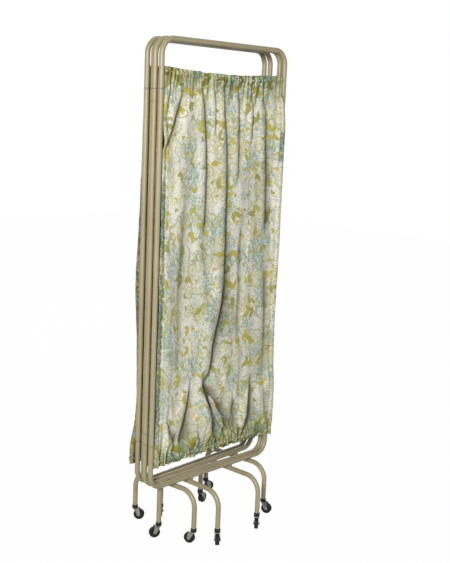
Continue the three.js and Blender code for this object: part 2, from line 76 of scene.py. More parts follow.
def added(name, data):
    """A new object in the scene."""
    made = bpy.data.objects.new(name, data)
    scene.collection.objects.link(made)
    return made


lens = bpy.data.cameras.new("camera")
lens.sensor_fit, lens.sensor_width = "AUTO", FILM
lens.lens = VIEW["focal"] / max(PHOTO) * FILM
lens.shift_x = (PHOTO[0] / 2 - VIEW["centre"][0]) / max(PHOTO)
lens.shift_y = (VIEW["centre"][1] - PHOTO[1] / 2) / max(PHOTO)
camera = added("camera", lens)
yaw, pitch, roll = (radians(VIEW[k]) for k in ("yaw", "pitch", "roll"))
moved = Vector((*middle_of("panel_1_left_post").xy, 0)) - VIEW_POST
camera.matrix_world = (put(*(Vector(VIEW["place"]) + moved)) @ spun(yaw)
                       @ spun(pi / 2 - pitch, "X") @ spun(roll))
scene.camera = camera
scene.view_settings.view_transform = "Standard"


def sign(operation):
    """An arithmetic sign of Shade, and the same with a plain number on its left."""
    return (lambda one, two: one.maths(operation, one, two),
            lambda one, two: one.maths(operation, two, one))


class Shade:
    """A value, colour, vector or geometry on its way through a tree of nodes."""

    def __init__(self, tree, socket=None):
        self.tree, self.socket = tree, socket

    def node(self, kind, inputs=(), output=0, stops=None, **settings):
        made = self.tree.nodes.new(kind)
        for name, value in settings.items():
            setattr(made, name, value)
        if stops:
            ramp = made.color_ramp.elements
            while len(ramp) < len(stops):
                ramp.new(1.0)
            for element, (position, colour) in zip(ramp, stops):
                element.position, element.color = position, (*colour, 1.0)
        pairs = inputs.items() if isinstance(inputs, dict) else enumerate(inputs)
        for key, value in pairs:
            if isinstance(value, Shade):
                self.tree.links.new(value.socket, made.inputs[key])
            elif isinstance(value, tuple) and made.inputs[key].type == "RGBA":
                made.inputs[key].default_value = (*value, 1.0)
            elif value is not None:
                made.inputs[key].default_value = value
        return Shade(self.tree, made.outputs[output]) if made.outputs else made

    def maths(self, operation, *values):
        return self.node("ShaderNodeMath", values, operation=operation)

    def larger(self, other):
        return self.maths("MAXIMUM", self, other)

    def plus(self, other, operation="ADD"):
        """Plus, minus and times are for vectors. The signs at the end are for single values."""
        return self.node("ShaderNodeVectorMath", [self, other], operation=operation)

    def minus(self, other):
        return self.plus(other, "SUBTRACT")

    def times(self, other):
        return self.plus(other, "MULTIPLY")

    def noise(self, scale, detail=3.0, output=0):
        inputs = {"Vector": self, "Scale": scale, "Detail": detail}
        return self.node("ShaderNodeTexNoise", inputs, output)

    def bumps(self, strength, depth):
        inputs = {"Strength": strength, "Distance": depth, "Height": self}
        return self.node("ShaderNodeBump", inputs)

    def blend(self, other, share, how="MIX"):
        """This colour going over to the other one as share rises."""
        inputs = {0: share, 6: self, 7: other}
        return self.node("ShaderNodeMix", inputs, 2, data_type="RGBA", blend_type=how)

    def ramp(self, *stops):
        return self.node("ShaderNodeValToRGB", [self], stops=stops)

    def fade(self, low, high, colours):
        """The first colour up to low, the second from high on."""
        return self.ramp((low, colours[0]), (high, colours[1]))

    def step(self, start, end):
        """0 below start, 1 above end and a smooth rise between. Start may be the larger."""
        return self.node("ShaderNodeMapRange", [self, start, end, 0.0, 1.0],
                         interpolation_type="SMOOTHSTEP")

    def split(self):
        node = self.node("ShaderNodeSeparateXYZ", [self]).socket.node
        return [Shade(self.tree, socket) for socket in node.outputs]

    def __abs__(self):
        return self.maths("ABSOLUTE", self)

    __add__, __radd__ = sign("ADD")
    __sub__, __rsub__ = sign("SUBTRACT")
    __mul__, __truediv__, __pow__ = (sign(how)[0] for how in ("MULTIPLY", "DIVIDE", "POWER"))


def on_piece(shade):
    """The place on the piece, in metres of the screen's frame."""
    return shade.node("ShaderNodeTexCoord", output="Object")


def ray(shade, kind):
    return shade.node("ShaderNodeLightPath", output=f"Is {kind} Ray")


def finish_of(name, paint, *choices):
    """A material whose paint(shade, surface, *choices) sets its Principled surface's sockets."""
    material = bpy.data.materials.new(name)
    material.use_nodes = True
    paint(Shade(material.node_tree), material.node_tree.nodes["Principled BSDF"], *choices)
    return material


def mesh_of(name, points, edges, faces, finish=None):
    mesh = bpy.data.meshes.new(name)
    mesh.from_pydata(points, edges, faces)
    if finish:
        mesh.materials.append(finish)
    return mesh


def join(surface, **values):
    """Links values to the surface's sockets, named with _ for each space."""
    for name, value in values.items():
        value.tree.links.new(value.socket, surface.inputs[name.replace("_", " ")])


def floor_paper(shade, surface):
    """White to the camera and in reflections, pale grey to the lamps."""
    seen = ray(shade, "Camera") * FLOOR_GLOW
    seen = seen.larger(ray(shade, "Glossy")).larger(ray(shade, "Transmission"))
    glow = shade.node("ShaderNodeEmission", {"Color": (1.0, 1.0, 1.0), "Strength": 1.0})
    matt = shade.node("ShaderNodeBsdfDiffuse", {"Color": FLOOR_COLOUR})
    both = shade.node("ShaderNodeMixShader", [seen, matt, glow])
    nodes = shade.tree.nodes
    shade.tree.links.new(both.socket, nodes["Material Output"].inputs["Surface"])
    nodes.remove(surface)


corners = [(x * FLOOR_HALF, y * FLOOR_HALF, 0) for x, y in ((-1, -1), (1, -1), (1, 1), (-1, 1))]
floor = mesh_of("floor", corners, [], [(0, 1, 2, 3)], finish_of("floor_paper", floor_paper))
added("floor", floor)

for name, place, size, power, colour in (("key", (-3.5, -2.3, 2.3), 0.8, 176, (1.0, 0.985, 0.96)),
                                         ("fill", (-1.6, -4.2, 2.0), 1.8, 30, (1.0, 1.0, 1.0)),
                                         ("rear", (2.2, 3.8, 2.6), 1.8, 95, (1.0, 1.0, 1.0))):
    light = bpy.data.lights.new(name, "AREA")
    light.shape, light.size, light.energy, light.color = "SQUARE", size, power, colour
    lamp = added(name, light)
    lamp.location = place
    lamp.rotation_euler = (LIT_POINT - Vector(place)).to_track_quat("-Z", "Y").to_euler()

scene.world = bpy.data.worlds.new("studio")
scene.world.use_nodes = True
sky = Shade(scene.world.node_tree)
seen = ray(sky, "Camera").larger(ray(sky, "Glossy"))
background = sky.tree.nodes["Background"]
background.inputs["Color"].default_value = (1, 1, 1, 1)
strength = seen * (1 - WORLD_LIGHT) + WORLD_LIGHT
sky.tree.links.new(strength.socket, background.inputs["Strength"])

# Panel frames
# Each panel is two bows of 19 mm steel tube, bent cold, and two posts that slip over swaged
# spigots on the bows' tails. The seams stay open by a hair. Short pegs on the bows take the
# curtain wires. HINGED gives each post with knuckles and the post of the bow that turns in them.
# All of it is stove enamelled beige, worn and stained, more so towards the floor.
PANELS = (1, 2, 3, 4)
PANEL_YAWS = {1: 0.0, 2: -0.6, 3: 2.7, 4: 2.7}
PANEL_WIDTH, PANEL_HEIGHT = 0.635, 1.6
TUBE_RADIUS, TUBE_BORE, SPIGOT_RADIUS = 0.0095, 0.008, 0.0073
CORNER_RADIUS, BOW_TAIL, SPIGOT_LENGTH = 0.052, 0.167, 0.03
SEAM = 0.0003
KNUCKLE_LENGTH, HINGE_PITCH = 0.041, 0.025
BOTTOM_RAIL = 0.2201
TOP_RAIL = BOTTOM_RAIL + PANEL_HEIGHT
TOP_SEAM, BOTTOM_SEAM = TOP_RAIL - BOW_TAIL, BOTTOM_RAIL + BOW_TAIL
TOP_WIRE, BOTTOM_WIRE = TOP_RAIL - 0.107, BOTTOM_RAIL + 0.097
PEG_RADIUS, PEG_LENGTH = 0.0025, 0.006
HINGED = {(2, "right"): (1, "right"), (2, "left"): (3, "left"), (3, "right"): (4, "right")}
SIDES, BEND_STEPS = 32, 18
EASED, WELD_SINK, SHARP_ANGLE = 0.0004, 0.0006, 34
ENAMEL = ((0.305, 0.262, 0.15), (0.37, 0.32, 0.192))
STAINS = ((0.215, 0.17, 0.09), (0.28, 0.23, 0.125))
SCUFFS = ((0.12, 0.085, 0.055), (0.22, 0.16, 0.1))
GRIME = (0.075, 0.055, 0.035)


def panel_place(panel):
    """From the panel's own frame, with its left post's axis at the origin, to the screen's."""
    middle = middle_of(f"panel_{panel}_top_wire")
    return put(*middle.xy) @ spun(radians(PANEL_YAWS[panel])) @ put(-PANEL_WIDTH / 2)


def bent(corners, radius):
    """A bar's axis through its corners, with a bend of that radius at each."""
    axis = [corners[0]]
    for before, corner, after in zip(corners, corners[1:], corners[2:]):
        into, out = (corner - before).normalized(), (after - corner).normalized()
        turn = into.angle(out)
        start = corner - into * radius * tan(turn / 2)
        inward = (out - into * cos(turn)).normalized()
        for k in range(BEND_STEPS + 1):
            swept = turn * k / BEND_STEPS
            axis.append(start + into * radius * sin(swept)
                        + inward * radius * (1 - cos(swept)))
    return axis + [corners[-1]]


def around(sides):
    """The cosine and sine of each side's angle."""
    return [(cos(tau * k / sides), sin(tau * k / sides)) for k in range(sides)]


class Body:
    """The closed shells of one piece, made in its own frame and set down by a matrix."""

    def __init__(self, place):
        self.place, self.points, self.faces = place, [], []

    def shell(self, points, faces, at=Matrix()):
        start, place = len(self.points), self.place @ at
        self.points += [place @ Vector(point) for point in points]
        self.faces += [tuple(start + i for i in face) for face in faces]

    def rings(self, rings, at=Matrix(), closed=False):
        """A skin over rings of points, capped at both ends or closed on itself."""
        sides, count = len(rings[0]), len(rings)
        faces = []
        for i in range(count if closed else count - 1):
            for k in range(sides):
                low, high = i * sides, (i + 1) % count * sides
                beside = (k + 1) % sides
                faces.append((low + k, low + beside, high + beside, high + k))
        if not closed:
            faces.append(tuple(range(sides))[::-1])
            faces.append(tuple((count - 1) * sides + k for k in range(sides)))
        self.shell([point for ring in rings for point in ring], faces, at)

    def swept(self, path, radius, sides=SIDES, ease=EASED):
        """A round bar along a path, its two ends eased."""
        into, out = (path[1] - path[0]).normalized(), (path[-1] - path[-2]).normalized()
        stations = [path[0], path[0] + into * ease, *path[1:-1], path[-1] - out * ease, path[-1]]
        radii = [radius - ease, *[radius] * (len(stations) - 2), radius - ease]
        rings, across = [], into.orthogonal().normalized()
        for i, (at, reach) in enumerate(zip(stations, radii)):
            tangent = (stations[min(i + 1, len(stations) - 1)] - stations[max(i - 1, 0)]).normalized()
            across = (across - tangent * across.dot(tangent)).normalized()
            beside = tangent.cross(across)
            rings.append([at + (across * c + beside * s) * reach for c, s in around(sides)])
        self.rings(rings)

    def turned(self, profile, at=Matrix(), sides=SIDES, closed=False):
        """A profile of radius and height turned about Z. A closed profile goes up outside."""
        rings = [[(r * c, r * s, z) for c, s in around(sides)] for r, z in profile]
        self.rings(rings, at, closed)

    def tube(self, x, y, low, high):
        """An upright tube, open at both ends."""
        eased = TUBE_RADIUS - EASED
        ring = [(TUBE_BORE, low), (eased, low), (TUBE_RADIUS, low + EASED),
                (TUBE_RADIUS, high - EASED), (eased, high), (TUBE_BORE, high)]
        self.turned(ring, put(x, y), closed=True)

    def plate(self, outline, thickness, at=Matrix(), edge=0.0006):
        """A flat outline in X and Y with rounded edges, thickness up from the outline."""
        work = bmesh.new()
        low = work.faces.new([work.verts.new((x, y, 0)) for x, y in outline])
        low.normal_update()
        if low.normal.z > 0:
            low.normal_flip()
        raised = bmesh.ops.extrude_face_region(work, geom=[low])
        moved = [v for v in raised["geom"] if isinstance(v, bmesh.types.BMVert)]
        bmesh.ops.translate(work, verts=moved, vec=(0, 0, thickness))
        bmesh.ops.recalc_face_normals(work, faces=work.faces)
        rims = [e for e in work.edges if abs(e.verts[0].co.z - e.verts[1].co.z) < 1e-7]
        bmesh.ops.bevel(work, geom=rims, offset=edge, segments=2, profile=0.6, affect="EDGES")
        work.verts.index_update()
        self.shell([v.co.copy() for v in work.verts],
                   [[v.index for v in face.verts] for face in work.faces], at)
        work.free()

    def piece(self, name, finish, slot, node, body=None):
        """Makes the piece, which rides on its own panel's body unless another is named."""
        mesh = mesh_of(name, self.points, [], self.faces, finish)
        mesh.shade_smooth()
        mesh.set_sharp_from_angle(angle=radians(SHARP_ANGLE))
        settle(added(name, mesh), body or name[:len("panel_1")], slot, node)


def settle(made, body, slot, *nodes):
    """Lets a finished piece ride on its body and hides the parts that it stands for."""
    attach(made, body)
    if nodes:
        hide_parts(*nodes)


def worn_enamel(shade, surface, seams):
    """Enamel with stains, scuffs to the steel, and grime in the tube's seams at those heights."""
    place = on_piece(shade)
    height = place.split()[2]
    broad = place.noise(3.1)
    cloud = place.noise(21.0, 5.0)
    speck = place.noise(330.0, 3.0)
    streak = place.times((90.0, 90.0, 9.0)).noise(1.0, 4.0)
    tone = broad.fade(0.3, 0.7, ENAMEL)
    # Stains and scuffs grow stronger towards the floor, so the enamel is darker towards the bottom
    low = height.step(0.34, 0.05)
    stained = (cloud.step(0.5, 0.76) * 0.34 + streak.step(0.52, 0.74) * 0.3) * (0.6 + low * 0.8)
    tone = tone.blend(streak.fade(0.35, 0.65, STAINS), stained)
    scuffed = place.noise(64.0, 6.0).step(0.66, 0.7) * (0.25 + low * 0.6)
    tone = tone.blend(speck.fade(0.4, 0.6, SCUFFS), scuffed)
    grimy = scuffed * 0
    for seam in seams:
        grimy = grimy.larger(abs(height - seam).step(0.0021, 0.0007))
    tone = tone.blend(GRIME, grimy * 0.75)
    relief = cloud * 0.25 + speck * 0.12 - scuffed * 0.6
    join(surface, Base_Color=tone, Roughness=cloud * 0.22 + scuffed * 0.3 + 0.3,
         Normal=relief.bumps(0.2, 0.0007))


TUBE_SEAMS = (TOP_SEAM, BOTTOM_SEAM)
HINGE_SEAMS = (*TUBE_SEAMS, TOP_SEAM - KNUCKLE_LENGTH, BOTTOM_SEAM + KNUCKLE_LENGTH)
paint = finish_of("beige_enamel", worn_enamel, TUBE_SEAMS)
hinge_paint = finish_of("beige_enamel_at_hinges", worn_enamel, HINGE_SEAMS)


def bow(panel, name, rail, seam, wire_height):
    up = 1 if seam > rail else -1
    body = Body(panel_place(panel))
    corners = [Vector((0, 0, seam)), Vector((0, 0, rail)),
               Vector((PANEL_WIDTH, 0, rail)), Vector((PANEL_WIDTH, 0, seam))]
    body.swept(bent(corners, CORNER_RADIUS), TUBE_RADIUS)
    for hand, x, inward in (("left", 0, 1), ("right", PANEL_WIDTH, -1)):
        reach = SPIGOT_LENGTH + (KNUCKLE_LENGTH + 2 * SEAM if (panel, hand) in HINGED.values() else 0)
        spigot = [Vector((x, 0, seam - up * 0.004)), Vector((x, 0, seam + up * reach))]
        body.swept(spigot, SPIGOT_RADIUS, 24)
        peg_end = x + inward * (TUBE_RADIUS + PEG_LENGTH)
        peg = [Vector((x, 0, wire_height)), Vector((peg_end, 0, wire_height))]
        body.swept(peg, PEG_RADIUS, 16, 0.0006)
    if name == "bottom_bow" and panel == 4:
        add_stub(body)
    name = f"panel_{panel}_{name}"
    body.piece(name + "_tube", paint, "painted_tube", name)


# The stub under the rear rail
# A leg's length of tube, welded under panel 4's bottom rail and cut off short, open below.
STUB_PLACE, STUB_LENGTH, STUB_DEPTH, LEG_RADIUS, LEG_BORE = 0.2975, 0.076, 0.02, 0.0095, 0.008


def add_stub(body):
    low = BOTTOM_RAIL - STUB_LENGTH
    body.turned([(LEG_BORE, low + STUB_DEPTH), (LEG_BORE, low), (LEG_RADIUS - EASED, low),
                 (LEG_RADIUS, low + EASED), (LEG_RADIUS, BOTTOM_RAIL - WELD_SINK)], put(STUB_PLACE))


for panel in PANELS:
    bow(panel, "top_bow", TOP_RAIL, TOP_SEAM, TOP_WIRE)
    bow(panel, "bottom_bow", BOTTOM_RAIL, BOTTOM_SEAM, BOTTOM_WIRE)

# Posts and hinges
# Where two panels are hinged, short knuckles of the same tube are welded to one panel's post
# through a flat lug, and turn on the long spigots of the next panel's bows. The weld beads keep
# their ripples under the enamel.
LUG_THICKNESS, LUG_INSET = 0.005, 0.003
BEAD_PITCH, BEAD_WIDTH, BEAD_LENGTH = 0.0019, 0.0019, 0.0032
BEAD_UNEVEN = 0.14


def post_axis(panel, hand):
    return panel_place(panel) @ Vector((PANEL_WIDTH if hand == "right" else 0, 0, 0))


def beads(name, lines, finish, pitch, width, length, seed):
    """Small flattened drops of uneven size along the lines and turned with them."""
    tree = bpy.data.node_groups.new(name, "GeometryNodeTree")
    for way in ("INPUT", "OUTPUT"):
        tree.interface.new_socket("Geometry", in_out=way, socket_type="NodeSocketGeometry")
    work = Shade(tree)
    curve = work.node("GeometryNodeMeshToCurve", [work.node("NodeGroupInput")])
    places = work.node("GeometryNodeResampleCurve", {"Curve": curve, "Length": pitch}, mode="LENGTH")
    drop = work.node("GeometryNodeMeshIcoSphere", {"Radius": 0.5, "Subdivisions": 2})
    tangent = work.node("GeometryNodeInputTangent")
    turn = work.node("FunctionNodeAlignRotationToVector", {"Vector": tangent}, axis="Z")
    uneven = work.node("FunctionNodeRandomValue",
                       {2: 1 - BEAD_UNEVEN, 3: 1 + BEAD_UNEVEN, "Seed": seed}, 1, data_type="FLOAT")
    size = work.node("ShaderNodeCombineXYZ", [uneven * width, uneven * width, length])
    drops = work.node("GeometryNodeInstanceOnPoints",
                      {"Points": places, "Instance": drop, "Rotation": turn, "Scale": size})
    real = work.node("GeometryNodeRealizeInstances", [drops])
    dressed = work.node("GeometryNodeSetMaterial", {"Geometry": real, "Material": finish})
    work.node("NodeGroupOutput", [dressed])

    points, edges = [], []
    for line in lines:
        edges += [(len(points) + i, len(points) + i + 1) for i in range(len(line) - 1)]
        points += line
    source = added(name + "_lines", mesh_of(name + "_lines", points, edges, []))
    source.modifiers.new("beads", "NODES").node_group = tree
    shown = source.evaluated_get(bpy.context.evaluated_depsgraph_get())
    made = added(name, bpy.data.meshes.new_from_object(shown))
    made.data.name = name
    made.data.shade_smooth()
    bpy.data.objects.remove(source)
    return made


welds = {panel: [] for panel in PANELS}


def oblong(left, right, half):
    return [(left, -half), (right, -half), (right, half), (left, half)]


def knuckle(body, x, way, middle, seams):
    """A knuckle tube at that height and its lug to the post. The weld lines go into seams."""
    half = KNUCKLE_LENGTH / 2
    body.tube(x + way.x * HINGE_PITCH, way.y * HINGE_PITCH, middle - half, middle + half)
    half -= LUG_INSET
    inner, outer = TUBE_BORE + 0.0005, HINGE_PITCH - TUBE_BORE - 0.0005
    turn = put(x) @ spun(atan2(way.y, way.x))
    stood = put(0, LUG_THICKNESS / 2, middle) @ spun(pi / 2, "X")
    body.plate(oblong(inner, outer, half), LUG_THICKNESS, turn @ stood, 0.0008)
    grip = sqrt(TUBE_RADIUS ** 2 - (LUG_THICKNESS / 2) ** 2)
    for reach in (grip, HINGE_PITCH - grip):
        for face in (-LUG_THICKNESS / 2, LUG_THICKNESS / 2):
            ends = [(reach, face, middle + along * (half - 0.001)) for along in (-1, 1)]
            seams.append([body.place @ turn @ Vector(end) for end in ends])


for panel in PANELS:
    for hand in ("left", "right"):
        body = Body(panel_place(panel))
        x = PANEL_WIDTH if hand == "right" else 0
        pivots = (panel, hand) in HINGED.values()
        short = SEAM + (KNUCKLE_LENGTH + SEAM if pivots else 0)
        body.tube(x, 0, BOTTOM_SEAM + short, TOP_SEAM - short)
        if (panel, hand) in HINGED:
            way = post_axis(*HINGED[panel, hand]) - post_axis(panel, hand)
            way = (body.place.inverted().to_3x3() @ way).normalized()
            inset = SEAM + KNUCKLE_LENGTH / 2
            for middle in (BOTTOM_SEAM + inset, TOP_SEAM - inset):
                knuckle(body, x, way, middle, welds[panel])
        hinged = pivots or (panel, hand) in HINGED
        name = f"panel_{panel}_{hand}_post"
        body.piece(name + "_tube", hinge_paint if hinged else paint, "painted_tube", name)

# Feet and the single leg
# Panels 1 and 3 stand on two inverted U feet each, of 19 mm tube, welded across under the bottom
# rail on a small saddle block. Panel 2 has one straight leg, coped to its rail and welded round.
FOOT_HALF_SPAN, FOOT_BEND_RADIUS, CASTOR_HEIGHT = 0.157, 0.062, 0.0511
FOOT_RUN = BOTTOM_RAIL - TUBE_RADIUS - 0.002 - LEG_RADIUS
SADDLE_WIDTH, SADDLE_WELD_HEIGHT = 0.015, FOOT_RUN + 0.0058
SADDLE_THICKNESS = BOTTOM_RAIL - TUBE_RADIUS + 0.0012 - FOOT_RUN
SINGLE_LEG_PLACE, JOINT_STEPS = 0.078, 28


def round_joint(place, x):
    """The line where an upright leg meets the underside of a rail along X."""
    line = []
    for k in range(JOINT_STEPS + 1):
        angle = tau * k / JOINT_STEPS
        y = LEG_RADIUS * sin(angle)
        drop = sqrt(max(TUBE_RADIUS ** 2 - y ** 2, 0))
        line.append(place @ put(x, 0, BOTTOM_RAIL) @ Vector((LEG_RADIUS * cos(angle), y, -drop)))
    return line


for panel in (1, 3):
    place = panel_place(panel)
    for hand in ("left", "right"):
        name = f"panel_{panel}_{hand}_foot"
        x = (place.inverted() @ middle_of(name)).x
        body = Body(place)
        corners = [Vector((x, y * FOOT_HALF_SPAN, z))
                   for y, z in ((-1, CASTOR_HEIGHT), (-1, FOOT_RUN), (1, FOOT_RUN), (1, CASTOR_HEIGHT))]
        body.swept(bent(corners, FOOT_BEND_RADIUS), LEG_RADIUS)
        half = SADDLE_WIDTH / 2
        body.plate(oblong(x - half, x + half, half), SADDLE_THICKNESS, put(0, 0, FOOT_RUN), 0.001)
        body.piece(name + "_tube", paint, "painted_tube", name)
        under = BOTTOM_RAIL - sqrt((TUBE_RADIUS + 0.0003) ** 2 - half ** 2)
        for face in (-half, half):
            to_rail = [(x - half, face, under), (x + half, face, under)]
            to_foot = [(x + face, -half, SADDLE_WELD_HEIGHT), (x + face, half, SADDLE_WELD_HEIGHT)]
            welds[panel] += [[place @ Vector(p) for p in line] for line in (to_rail, to_foot)]

leg = Body(panel_place(2))
ends = [Vector((SINGLE_LEG_PLACE, 0, z)) for z in (CASTOR_HEIGHT, BOTTOM_RAIL - WELD_SINK)]
leg.swept(ends, LEG_RADIUS)
leg.piece("panel_2_leg_tube", paint, "painted_tube", "panel_2_leg")
for panel, x in ((2, SINGLE_LEG_PLACE), (4, STUB_PLACE)):
    welds[panel].append(round_joint(panel_place(panel), x))

for panel, lines in welds.items():
    bead_rows = beads(f"panel_{panel}_weld_beads", lines, paint,
                      BEAD_PITCH, BEAD_WIDTH, BEAD_LENGTH, panel)
    settle(bead_rows, f"panel_{panel}", "painted_tube")

# Castors
# A moulded black collar grips each leg's end and holds the stem's socket. Under it a fork of zinc
# plated steel, pressed in one piece, swivels on its stem, and a black moulded wheel turns on the
# riveted axle between the fork's round cheeks.
WHEEL_RADIUS, WHEEL_WIDTH, AXLE_RADIUS = 0.021, 0.016, 0.0025
CASTOR_TRAIL, CHEEK_RADIUS, CHEEK_THICKNESS = 0.016, 0.0072, 0.002
CROWN_UNDERSIDE, CROWN_THICKNESS, CROWN_RADIUS = 0.0435, 0.003, 0.010
COLLAR_RADIUS, COLLAR_TOP, COLLAR_FOOT, COLLAR_FLOOR = 0.0115, 0.0598, 0.0468, 0.0508
CHEEK_INNER = WHEEL_WIDTH / 2 + 0.001
CHEEK_OUTER = CHEEK_INNER + CHEEK_THICKNESS
SOCKET_RADIUS, STEM_RADIUS, STEM_TOP = 0.0033, 0.003, 0.0668
BRIDGE_BACK, BRIDGE_FRONT = -0.0052, 0.0148
AXLE = put(CASTOR_TRAIL, 0, WHEEL_RADIUS) @ spun(-pi / 2, "X")
ZINC = ((0.25, 0.245, 0.225), (0.1, 0.094, 0.082))
RUST = ((0.2, 0.12, 0.07), (0.3, 0.2, 0.12))
DUST, WHEEL_BLACK, COLLAR_BLACK = (0.2, 0.185, 0.16), (0.0075, 0.0075, 0.0078), (0.0135, 0.012, 0.0105)


def zinc(shade, surface):
    place = on_piece(shade)
    cloud = place.noise(70.0, 4.0)
    grain = place.noise(900.0, 2.0)
    dull = cloud.step(0.42, 0.7)
    tone = dull.fade(0.0, 1.0, ZINC)
    rust = place.noise(210.0, 5.0).step(0.64, 0.72)
    tone = tone.blend(grain.fade(0.4, 0.6, RUST), rust * 0.7)
    join(surface, Base_Color=tone, Roughness=dull * 0.2 + rust * 0.3 + 0.42,
         Metallic=0.8 - rust * 0.6, Normal=(grain + rust).bumps(0.25, 0.0003))


def moulded(shade, surface, colour, rough, dusty):
    """Black moulding, dull with dust near the floor."""
    place = on_piece(shade)
    cloud = place.noise(55.0, 4.0)
    grain = place.noise(1200.0, 2.0)
    dust = cloud.step(0.45, 0.75) * dusty * (0.4 + place.split()[2].step(0.03, 0.0) * 0.6)
    join(surface, Base_Color=dust.fade(0.0, 1.0, (colour, DUST)),
         Roughness=cloud * 0.2 + rough + dust * 0.3, Normal=grain.bumps(0.2, 0.0003))
    surface.inputs["Specular IOR Level"].default_value = 0.22


fork_zinc = finish_of("castor_zinc", zinc)
wheel_black = finish_of("castor_tread", moulded, WHEEL_BLACK, 0.5, 0.16)
collar_black = finish_of("castor_collar", moulded, COLLAR_BLACK, 0.4, 0.14)


def cheek_outline(steps=22):
    """A round end about the axle and a leg that slants back up to the crown and widens."""
    top = CROWN_UNDERSIDE + CROWN_THICKNESS - 0.0004
    start, end = radians(14), radians(-152)
    turn = [start + (end - start) * k / steps for k in range(steps + 1)]
    disc = [(CASTOR_TRAIL + CHEEK_RADIUS * cos(a), WHEEL_RADIUS + CHEEK_RADIUS * sin(a)) for a in turn]
    return [(-0.0055, top), (CASTOR_TRAIL - 0.001, top), (CASTOR_TRAIL + 0.0022, top - 0.0035), *disc]


def collar(name, place):
    foot, top, outer, inner = COLLAR_FOOT, COLLAR_TOP, COLLAR_RADIUS, LEG_RADIUS + 0.0003
    ring = [(SOCKET_RADIUS, foot), (outer - 0.0008, foot), (outer, foot + 0.0008),
            (outer, top - 0.0045), (outer - 0.0004, top - 0.004), (outer - 0.0004, top - 0.0007),
            (outer - 0.0009, top), (inner, top), (inner, COLLAR_FLOOR), (SOCKET_RADIUS, COLLAR_FLOOR)]
    body = Body(place)
    body.turned(ring, closed=True)
    body.piece(name + "_collar", collar_black, "castor_ferrule", name + "_ferrule")


def fork(name, place):
    body = Body(place)
    low, wide = CROWN_UNDERSIDE, CROWN_RADIUS
    body.turned([(wide - 0.0006, low), (wide, low + 0.0006), (wide, low + 0.0022),
                 (wide - 0.0014, low + CROWN_THICKNESS)])
    stem = [(STEM_RADIUS, low), (STEM_RADIUS, STEM_TOP - 0.0008), (STEM_RADIUS - 0.0008, STEM_TOP)]
    body.turned(stem, sides=16)
    bridge = oblong(BRIDGE_BACK, BRIDGE_FRONT, CHEEK_OUTER)
    body.plate(bridge, CROWN_THICKNESS - 0.0002, put(0, 0, low), 0.0011)
    for y in (CHEEK_OUTER, -CHEEK_INNER):
        body.plate(cheek_outline(), CHEEK_THICKNESS, put(0, y) @ spun(pi / 2, "X"), 0.0006)
    head = [(AXLE_RADIUS, CHEEK_OUTER), (AXLE_RADIUS + 0.0014, CHEEK_OUTER),
            (AXLE_RADIUS + 0.0012, CHEEK_OUTER + 0.0014), (0.0016, CHEEK_OUTER + 0.0025)]
    body.turned([(r, -z) for r, z in head[::-1]] + head, AXLE, 24)
    body.piece(name + "_fork_pressing", fork_zinc, "castor_fork", name + "_fork", name + "_swivel")


def wheel(name, place):
    """Each side goes from the bore over the hub's boss and the recess to the tread."""
    half, round_edge = WHEEL_WIDTH / 2, 0.0028
    edge = [(WHEEL_RADIUS - round_edge * (1 - sin(a)), half - 0.003 + round_edge * cos(a))
            for a in (radians(15 * k) for k in range(7))]
    side = [(r, half - sunk) for r, sunk in (
        (AXLE_RADIUS + 0.0003, 0.0015), (0.0052, 0.0015), (0.0056, 0.0004), (0.0092, 0.0004),
        (0.0098, 0.0017), (0.0142, 0.0017), (0.0148, 0.0004))]
    upper = side + edge + [(WHEEL_RADIUS, 0.0012), (WHEEL_RADIUS - 0.0004, 0.0006)]
    body = Body(place)
    body.turned([(r, -z) for r, z in upper] + upper[::-1], AXLE, 56, closed=True)
    body.piece(name + "_wheel_tread", wheel_black, "castor_wheel", name + "_wheel", name + "_roll")


for ferrule in sorted(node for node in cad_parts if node.endswith("_ferrule")):
    name = ferrule.removesuffix("_ferrule")
    stem, hub = middle_of(ferrule), middle_of(name + "_wheel")
    place = put(*stem.xy) @ spun(atan2(hub.y - stem.y, hub.x - stem.x))
    collar(name, place)
    fork(name, place)
    wheel(name, place)

# Curtain wires
# Bare spring wire, a close coil of thin steel that is cut to length. Each end shows the coil's
# turns up to the bow's peg. The top one sags a little under the cloth and the bottom one is taut.
WIRE_RADIUS, WIRE_GAUGE, COIL_LENGTH = 0.0022, 0.0005, 0.012
TOP_WIRE_SAG = 0.013
WIRE_START = TUBE_RADIUS + PEG_LENGTH + SEAM
WIRE_STEPS, COIL_STEPS = 24, 10
SPRING_STEEL = ((0.42, 0.41, 0.39), (0.2, 0.15, 0.11))


def spring_steel(shade, surface):
    place = on_piece(shade)
    cloud = place.noise(40.0, 4.0)
    turns = place.times((1900.0, 300.0, 300.0)).noise(1.0, 1.0)
    join(surface, Base_Color=cloud.fade(0.4, 0.65, SPRING_STEEL), Roughness=cloud * 0.3 + 0.25,
         Metallic=1.0 - cloud.step(0.5, 0.8) * 0.5, Normal=turns.bumps(0.4, 0.0003))


spring = finish_of("spring_steel", spring_steel)


